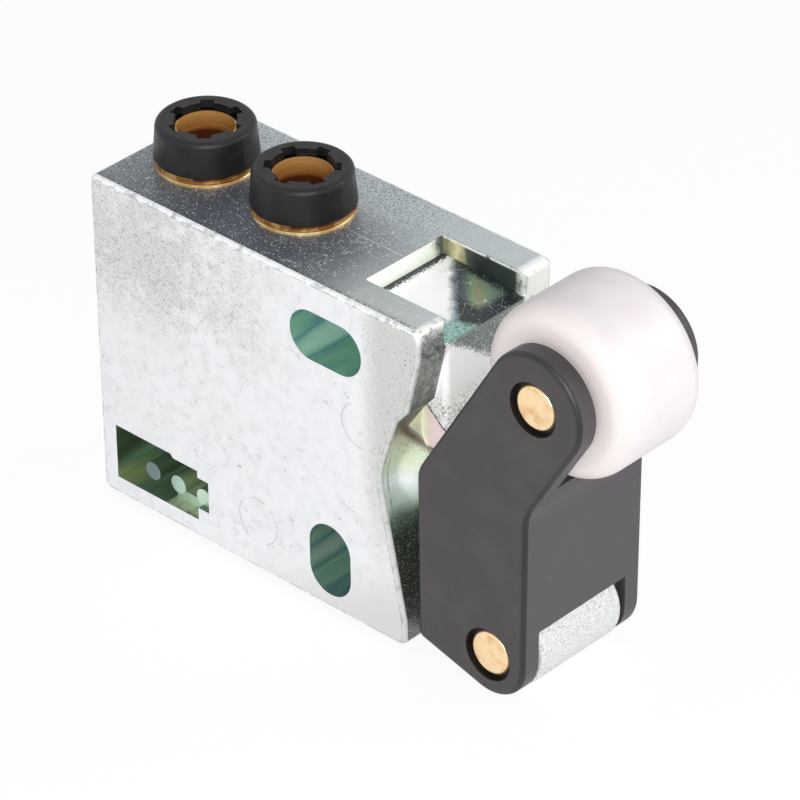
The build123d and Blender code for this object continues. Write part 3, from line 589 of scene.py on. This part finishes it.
def cast_zinc():
    """The zones of the casting laid over its bare skin, from the inside outwards."""
    finish, add, mm, shader = new_finish("passivated_zinc")
    at = casting_fields(add, mm)
    under = scaled(add, at.y, 1.15, at.z)
    facet = along(add, at.x, 14.4, 17.6, (
        (0.0, (206, 222, 190)), (1.0, (250, 226, 232)), (0.35, (222, 230, 196)),
        (0.65, (240, 220, 214))))

    in_throat = both(add, ramp(add, at.x, 11.8, 12.4), ramp(add, at.z, 20.7, 20.2),
                     ramp(add, at.x, 22.2, 22.0))
    colour = tint(add, bare_skin_and_highlights(add, at), throat_tint_and_painted_light(add, at, under), in_throat)
    lug = both(add, ramp(add, at.x, 19.0, 19.6), ramp(add, at.z, 8.6, 8.2))
    lug_skin = tint(add, paint(232, 234, 234), paint(214, 216, 216), ramp(add, at.grain, 0.42, 0.6))
    lug_skin = tint(add, lug_skin, paint(160, 162, 160), ramp(add, at.dots, 0.57, 0.66))
    colour = tint(add, colour, lug_skin, lug)
    slope = scaled(add, at.y, -0.92, at.z)
    shoulder = both(add, ramp(add, slope, 24.3, 24.1), ramp(add, under, 12.7, 12.9),
                    within(add, at.x, 13.6, 16.2, 0.1), within(add, at.y, -5.7, -4.1, 0.1))
    colour = tint(add, colour, facet, shoulder)
    nose = both(add, ramp(add, at.x, 11.5, 13.0),
                within(add, at.y, -nose_half_width, nose_half_width, 0.03),
                ramp(add, at.z, nose_low, nose_low + 0.3),
                ramp(add, at.z, tray_low + 0.04, tray_low))
    colour = tint(add, colour, nose_skin_and_painted_light(add, at, facet), nose)

    teal, deep = hollow_skin(add, at)
    inside = ramp(add, at.out, body_half_width - 0.01, body_half_width - 0.03)
    for centre, reach, drop, rise in (
            (upper_slot, slot_reach, slot_drop, slot_rise),
            (lower_slot, slot_reach, slot_drop, slot_rise),
            (lower_slot, 2.3, slot_drop, slot_drop)):
        slot = in_box(add, at, centre, reach, drop, rise)
        colour = tint(add, colour, teal, both(add, inside, slot))
    in_tray = both(add, ramp(add, at.x, tray_back - 0.2, tray_back - 0.1),
                   within(add, at.y, -tray_half_width - 0.15, tray_half_width + 0.15),
                   ramp(add, at.z, tray_low - 0.2, tray_low),
                   ramp(add, at.z, body_top - 0.02, body_top - 0.1))
    level = both(add, ramp(add, at.x, tray_back + 1.5, tray_back + 2.0),
                 ramp(add, at.out, tray_half_width - 0.15, tray_half_width - 0.3))
    level = larger(add, level, ramp(add, at.facing[2], 0.5, 0.8))
    colour = tint(add, colour, tint(add, tray_walls(add, at), tray_floor(add, at), level), in_tray)
    (left, bottom), (right, top) = window_low_corner, window_high_corner
    window = both(add, inside, within(add, at.x, left, right), within(add, at.z, bottom, top),
                  ramp(add, at.y, -2.0, -2.3))
    colour = tint(add, colour, deep, window)

    at_top = ramp(add, at.z, body_top - 0.12, body_top - 0.04)
    colour = tint(add, colour, top_face_and_reflection(add, at), both(
        add, at_top, ramp(add, at.facing[2], 0.3, 0.9)))
    # painted light: the far arm's end face is pale, as if lit from behind at the right
    lit_far_end = both(add, ramp(add, at.x, 17.3, 17.8), ramp(add, at.y, 4.2, 4.5),
                   ramp(add, at.z, 20.0, 22.0), ramp(add, at.mottle, 0.3, 0.5))
    colour = tint(add, colour, paint(240, 243, 236), lit_far_end)
    # painted highlight on the rounded top corners at the front ends of the walls
    tip_highlight = both(add, ramp(add, at.x, 17.4, 17.9), ramp(add, at.z, body_top - 1.2, body_top - 0.5),
               ramp(add, at.mottle, 0.36, 0.5))
    colour = tint(add, colour, paint(240, 242, 238), tip_highlight)
    pale, etching = rubbed_face(add, at)
    flat = both(add, ramp(add, at.out, body_half_width - 0.45, body_half_width - 0.35),
                ramp(add, scaled(add, at.ragged, 0.5, at.sideways), 0.66, 0.8))
    colour = tint(add, colour, pale, flat)
    plain_back = both(add, ramp(add, at.x, wall_back + 0.3, wall_back + 0.1),
                      ramp(add, at.facing[0], -0.6, -0.8))
    colour = tint(add, colour, pale, plain_back)
    colour = highlit_edges(add, at, colour)

    dull = add("Math", {0: flat, 1: 0.6, 2: larger(add, in_tray, lug)},
               operation="MULTIPLY_ADD", use_clamp=True).outputs[0]
    metal = run(add, dull, 0.0, 1.0, 0.5, 0.08)
    metal = run(add, nose, 0.0, 1.0, metal, 0.04)
    metal = run(add, at_top, 0.0, 1.0, metal, 0.3)
    pits = both(add, ramp(add, at.dots, 0.6, 0.68), ramp(add, at.mottle, 0.42, 0.6))
    relief = scaled(add, at.mottle, 0.5, scaled(add, at.grain, 0.5))
    relief = scaled(add, etching, -0.5, scaled(add, pits, -0.8, relief))
    bump = add("Bump", {"Height": relief, "Strength": run(add, flat, 0.0, 1.0, 0.6, 0.25),
                        "Distance": 0.06 * MM})
    put(shader, {"Base Color": colour, "Metallic": metal,
                 "Roughness": run(add, at.mottle, 0.3, 0.7, 0.3, 0.46),
                 "Normal": bump.outputs[0]})
    coat(finish, "body_casting")


cast_zinc()

# PORT SLEEVES, SEAT BUSH, COLLETS AND PLUNGER
# Turned brass. The sleeves are pressed into the two ports and show as a bright double ring
# under each black button; the slit collets sit inside the buttons and grip the tube.

port_places = {"rear": -10.95, "front": -0.5}
flange_top = 29.6
collet_top = 32.4
neck_radius, flange_radius = 3.8, 4.6
collet_bore, collet_radius = 2.4, 3.1


def port_brass(add, mm, z, cloud, bore_tint_and_shade, middle_x, colour, metal):
    """Round one port: painted shade on the neck and down the bore, dark collet ends of oxide with
    painted shade, the flange's lip as a painted highlight with a dark line of painted shade above
    it, and amber by the strip.
    """
    reach = from_axis(add, mm, (middle_x, 0, 0), (1, 1, 0))
    neck_shade = both(add, within(add, reach, neck_radius - 0.3, neck_radius),
                ramp(add, z, flange_top + 0.02, flange_top + 0.08))
    bore = ramp(add, reach, collet_bore, collet_bore - 0.06)
    end = both(add, within(add, reach, collet_bore, collet_radius),
               ramp(add, z, collet_top - 0.1, collet_top))
    # painted shade on the neck under the button
    colour = tint(add, colour, paint(92, 54, 24), neck_shade)
    colour = tint(add, colour, bore_tint_and_shade, bore)
    # dark collet end faces: oxide with painted shade in the notches
    colour = tint(add, colour, paint(40, 30, 22), end)
    rim = both(add, within(add, reach, neck_radius + 0.02, flange_radius),
               ramp(add, z, flange_top - 0.6, flange_top - 0.4))
    lip = both(add, rim, ramp(add, z, flange_top - 0.04, flange_top - 0.08))
    # painted highlight on the flange's lip
    painted_bright = tint(add, paint(222, 176, 108), paint(246, 218, 162), ramp(add, cloud, 0.44, 0.6))
    colour = tint(add, colour, painted_bright, lip)
    # painted shade: a dark line between the flange and the strip
    colour = tint(add, colour, paint(84, 48, 22), both(
        add, rim, within(add, z, flange_top - 0.05, flange_top + 0.06, 0.02)))
    strip = both(add, rim, ramp(add, z, flange_top + 0.07, flange_top + 0.1))
    amber = tint(add, paint(150, 102, 52), paint(206, 160, 98), ramp(add, cloud, 0.44, 0.6))
    metal = run(add, bore, 0.0, 1.0, metal, 0.15)
    return (tint(add, colour, amber, strip),
            run(add, scaled(add, lip, 1.0, strip), 0.0, 1.0, metal, 0.4))


def turned_brass():
    """Brass with fine turning rings: bands along the turning axis shift gloss and height; the bores
    darken downwards in painted shade.
    """
    finish, add, mm, shader = new_finish("turned_brass")
    z = axes_of(add, mm)[2]
    cloud = noise(add, mm, 0.7, 3.0, 0.6)
    rings = noise(add, mm, 9.0, 1.0, 0.5, stretch=(0.02, 0.02, 1))
    colour = tint(add, paint(250, 216, 158), paint(226, 180, 114), ramp(add, cloud, 0.42, 0.68))
    colour = tint(add, colour, paint(255, 238, 200), ramp(add, rings, 0.56, 0.72))
    # painted shade: the bore darkens towards its bottom
    bore_tint_and_shade = along(add, z, collet_top - 4.0, collet_top, (
        (0.0, (40, 20, 8)), (1.0, (192, 142, 80)), (0.6, (78, 38, 18)), (0.66, (140, 88, 40))))
    bore_tint_and_shade = tint(add, bore_tint_and_shade, paint(200, 152, 92), both(
        add, ramp(add, rings, 0.56, 0.76), ramp(add, z, collet_top - 1.4, collet_top - 1.2)))
    metal = 1.0
    for middle_x in port_places.values():
        colour, metal = port_brass(add, mm, z, cloud, bore_tint_and_shade, middle_x, colour, metal)
    bump = add("Bump", {"Height": rings, "Strength": 0.12, "Distance": 0.02 * MM})
    put(shader, {"Base Color": colour, "Metallic": metal, "Roughness": 0.26,
                 "Normal": bump.outputs[0]})
    coat(finish, "port_sleeve_rear", "port_sleeve_front", "tube_collet_rear", "tube_collet_front",
         "seat_bush", "poppet", "plunger", "guide_bush")
    return finish


brass = turned_brass()

# SPLIT RINGS
# A turn and a quarter of flat brass strip wound round the neck of each port sleeve, between
# the flange and the button.

strip_radius = 4.02
strip_width, strip_height = 0.3, 0.22
strip_start, strip_turns = -150.0, 1.25
strip_low, strip_lift = 29.71, 0.32
strip_steps = 120


def wind_strip(name, middle_x, body):
    """A strip of flat section on a rising spiral: at turn t its middle is
    (R cos a, R sin a, low + lift t), where a goes from the start once round for each turn."""
    share = np.linspace(0, 1, strip_steps)
    angle = math.radians(strip_start) + share * strip_turns * 2 * math.pi
    across = np.array([-1, 1, 1, -1]) * strip_width / 2
    upward = np.array([-1, -1, 1, 1]) * strip_height / 2
    reach = strip_radius + across[None, :]
    places = np.stack([
        middle_x + reach * np.cos(angle)[:, None],
        reach * np.sin(angle)[:, None],
        (strip_low + strip_lift * share)[:, None] + np.broadcast_to(upward, (strip_steps, 4)),
    ], axis=-1)
    i, j = np.meshgrid(np.arange(strip_steps - 1), np.arange(4), indexing="ij")
    m = (j + 1) % 4
    sides = np.stack([i * 4 + j, (i + 1) * 4 + j, (i + 1) * 4 + m, i * 4 + m], axis=-1)
    last = (strip_steps - 1) * 4
    ends = [[0, 1, 2, 3], [last + 3, last + 2, last + 1, last]]
    mesh = bpy.data.meshes.new(name)
    mesh.from_pydata((places.reshape(-1, 3) * MM).tolist(), [],
                     sides.reshape(-1, 4).tolist() + ends)
    mesh.update()
    strip = bpy.data.objects.new(name, mesh)
    bpy.context.scene.collection.objects.link(strip)
    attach(strip, body)
    return strip


for side, middle_x in port_places.items():
    strip = wind_strip("split_ring_" + side, middle_x, "valve_body")
    dress(strip, brass)
    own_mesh(strip)

# RELEASE BUTTONS
# Black nylon caps, pushed down by a finger to let the tube go, with six notches in the rim.


def black_nylon():
    """Satin black with a fine moulded grain."""
    finish, add, mm, shader = new_finish("black_nylon")
    grain = noise(add, mm, 6.0, 3.0, 0.55)
    cloud = noise(add, mm, 0.5, 3.0, 0.5, shift=(2, 2, 2))
    colour = tint(add, paint(23, 22, 23), paint(33, 31, 32), ramp(add, cloud, 0.4, 0.65))
    bump = add("Bump", {"Height": grain, "Strength": 0.25, "Distance": 0.03 * MM})
    put(shader, {"Base Color": colour, "Roughness": run(add, grain, 0.3, 0.7, 0.36, 0.5),
                 "Specular IOR Level": 0.28, "Normal": bump.outputs[0]})
    coat(finish, "release_button_rear", "release_button_front")


black_nylon()

# SOFT RINGS AND THE POPPET'S PAD
# Nitrile rubber, matt and nearly black, squeezed between brass and zinc.


def nitrile():
    """Matt rubber with faint dust."""
    finish, add, mm, shader = new_finish("nitrile")
    dust = noise(add, mm, 2.5, 4.0, 0.6)
    colour = tint(add, paint(26, 26, 27), paint(44, 43, 42), ramp(add, dust, 0.5, 0.72))
    bump = add("Bump", {"Height": dust, "Strength": 0.3, "Distance": 0.03 * MM})
    put(shader, {"Base Color": colour, "Roughness": 0.72, "Normal": bump.outputs[0]})
    coat(finish, "sleeve_seal_rear", "sleeve_seal_front", "tube_seal_rear", "tube_seal_front",
         "seat_bush_seal", "plunger_seal", "poppet_pad")


nitrile()

# SPRINGS
# Hard-drawn steel wire behind the poppet and behind the plunger's collar.


def drawn_wire():
    """Bright steel with fine lines along X, the axis that both coils lie on."""
    finish, add, mm, shader = new_finish("drawn_wire")
    lines = noise(add, mm, 8.0, 2.0, 0.5, stretch=(4, 1, 1))
    colour = tint(add, paint(190, 192, 196), paint(140, 142, 146), ramp(add, lines, 0.45, 0.65))
    put(shader, {"Base Color": colour, "Metallic": 1.0, "Roughness": 0.28})
    coat(finish, "poppet_spring", "return_spring")


drawn_wire()

# ROLLER LEVER
# One charcoal moulding, two cheeks joined by a web, that rocks on the pin through the lug.

pin_places = ((24.6, 2.95), (29.12, 27.15))
pin_mouth = 2.27


def charcoal_moulding():
    """Satin dark grey with a fine spark grain and a few pale specks of dust; the faces that look
    along +X are paler in painted light, and painted shade darkens the rounded edges and the pin
    holes.
    """
    finish, add, mm, shader = new_finish("charcoal_moulding")
    facing = facing_of(add)
    grain = noise(add, mm, 7.0, 3.0, 0.55)
    cloud = noise(add, mm, 0.35, 3.0, 0.5, shift=(4, 0, 1))
    dust = specks(add, mm, 0.55, 0.06, (9, 3, 5))
    colour = tint(add, paint(54, 51, 53), paint(60, 57, 59), ramp(add, cloud, 0.4, 0.65))
    # painted light: faces that look along +X are paler
    colour = tint(add, colour, paint(72, 69, 72), ramp(add, facing[0], 0.7, 0.95))
    colour = tint(add, colour, paint(150, 148, 148), dust)
    # painted shade on the rounded edges
    shaded_rounded_edge = within(add, magnitude(add, facing[1]), 0.25, 0.93, 0.05)
    colour = tint(add, colour, paint(30, 29, 31), shaded_rounded_edge)
    # painted shadow in the pin holes, round each pin
    for pin_x, pin_z in pin_places:
        reach = from_axis(add, mm, (pin_x, 0, pin_z), (1, 0, 1))
        colour = tint(add, colour, paint(20, 14, 10), ramp(add, reach, pin_mouth, pin_mouth - 0.02))
    bump = add("Bump", {"Height": grain, "Strength": 0.2, "Distance": 0.02 * MM})
    put(shader, {"Base Color": colour, "Roughness": run(add, grain, 0.3, 0.7, 0.4, 0.54),
                 "Normal": bump.outputs[0]})
    coat(finish, "roller_lever")


charcoal_moulding()

# ROLLER
# A white acetal roller, turned, with well rounded ends; light soaks into it a little.

roller_middle = (29.12, 0.0, 27.15)
roller_radius = 7.11
roller_half_width = 4.5
roller_end_radius, bore_end_radius = 1.6, 0.15
roller_bore = 1.93
roller_turns = 192


def turned_about_y(name, middle, profile, turns, body):
    """A closed profile of radius and y carried round an axis along Y through the middle.

    Point (i, j) is middle + (r_j cos a_i, y_j, r_j sin a_i) for equal angles a_i. The grid of
    points is joined, closed both ways, into one smooth mesh with its faces outwards.
    """
    angle = np.linspace(0, 2 * math.pi, turns, endpoint=False)
    radius, width = profile.T
    count = len(profile)
    places = np.stack([
        middle[0] + radius[None, :] * np.cos(angle)[:, None],
        middle[1] + np.broadcast_to(width, (turns, count)),
        middle[2] + radius[None, :] * np.sin(angle)[:, None],
    ], axis=-1) * MM
    i, j = np.meshgrid(np.arange(turns), np.arange(count), indexing="ij")
    k, m = (i + 1) % turns, (j + 1) % count
    faces = np.stack([i * count + j, i * count + m, k * count + m, k * count + j], axis=-1)
    mesh = bpy.data.meshes.new(name)
    mesh.from_pydata(places.reshape(-1, 3).tolist(), [], faces.reshape(-1, 4).tolist())
    mesh.polygons.foreach_set("use_smooth", np.ones(turns * count, bool))
    mesh.update()
    piece = bpy.data.objects.new(name, mesh)
    bpy.context.scene.collection.objects.link(piece)
    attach(piece, body)
    return piece


def arc(centre, radius, start, end, count):
    """Points on a circle from one angle in degrees to another."""
    turn = np.radians(np.linspace(start, end, count))
    return np.stack([centre[0] + radius * np.cos(turn), centre[1] + radius * np.sin(turn)], axis=1)


def turn_roller():
    """Outside: a cylinder with quarter-round ends; inside: the bore with small rounds."""
    edge = roller_radius - roller_end_radius
    face = roller_half_width - roller_end_radius
    mouth, mouth_end = roller_bore + bore_end_radius, roller_half_width - bore_end_radius
    tread = np.stack([np.full(7, roller_radius), np.linspace(-face, face, 9)[1:-1]], axis=1)
    profile = np.concatenate([
        arc((edge, -face), roller_end_radius, -90, 0, 24),
        tread,
        arc((edge, face), roller_end_radius, 0, 90, 24),
        arc((mouth, mouth_end), bore_end_radius, 90, 180, 6),
        arc((mouth, -mouth_end), bore_end_radius, 180, 270, 6),
    ])
    return turned_about_y("roller_turned", roller_middle, profile, roller_turns, "lever_roller")


def white_acetal():
    """Milky white that lets light in a few tenths of a millimetre, with pinkish painted shade on
    the near end by the cheek.
    """
    finish, add, mm, shader = new_finish("white_acetal")
    cloud = noise(add, mm, 0.4, 3.0, 0.5)
    fine = noise(add, mm, 5.0, 2.0, 0.5, stretch=(1, 0.3, 1))
    colour = tint(add, paint(234, 229, 232), paint(232, 225, 228), ramp(add, cloud, 0.4, 0.65))
    y = axes_of(add, mm)[1]
    # painted shade on the near end, beside the near cheek
    colour = tint(add, colour, paint(230, 222, 221), ramp(add, y, -2.6, -4.0))
    bump = add("Bump", {"Height": fine, "Strength": 0.1, "Distance": 0.02 * MM})
    put(shader, {"Base Color": colour, "Roughness": 0.42, "Subsurface Weight": 0.6,
                 "Subsurface Radius": (1.0, 0.8, 0.85), "Subsurface Scale": 1.2 * MM,
                 "Normal": bump.outputs[0]})
    return finish


roller = turn_roller()
dress(roller, white_acetal())
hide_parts("roller")

# PINS
# Two plain brass pins with rounded ends, one through the lug and one through the roller.


def pale_brass():
    """Pale gold, flat and softly brushed across the end."""
    finish, add, mm, shader = new_finish("pale_brass")
    cloud = noise(add, mm, 0.8, 3.0, 0.55)
    lines = noise(add, mm, 4.0, 3.0, 0.6, stretch=(0.3, 1, 3.0))
    colour = tint(add, paint(250, 220, 176), paint(232, 192, 140), ramp(add, cloud, 0.45, 0.7))
    bump = add("Bump", {"Height": lines, "Strength": 0.25, "Distance": 0.02 * MM})
    put(shader, {"Base Color": colour, "Metallic": 0.85, "Roughness": 0.3,
                 "Normal": bump.outputs[0]})
    coat(finish, "pivot_pin", "roller_pin")


pale_brass()
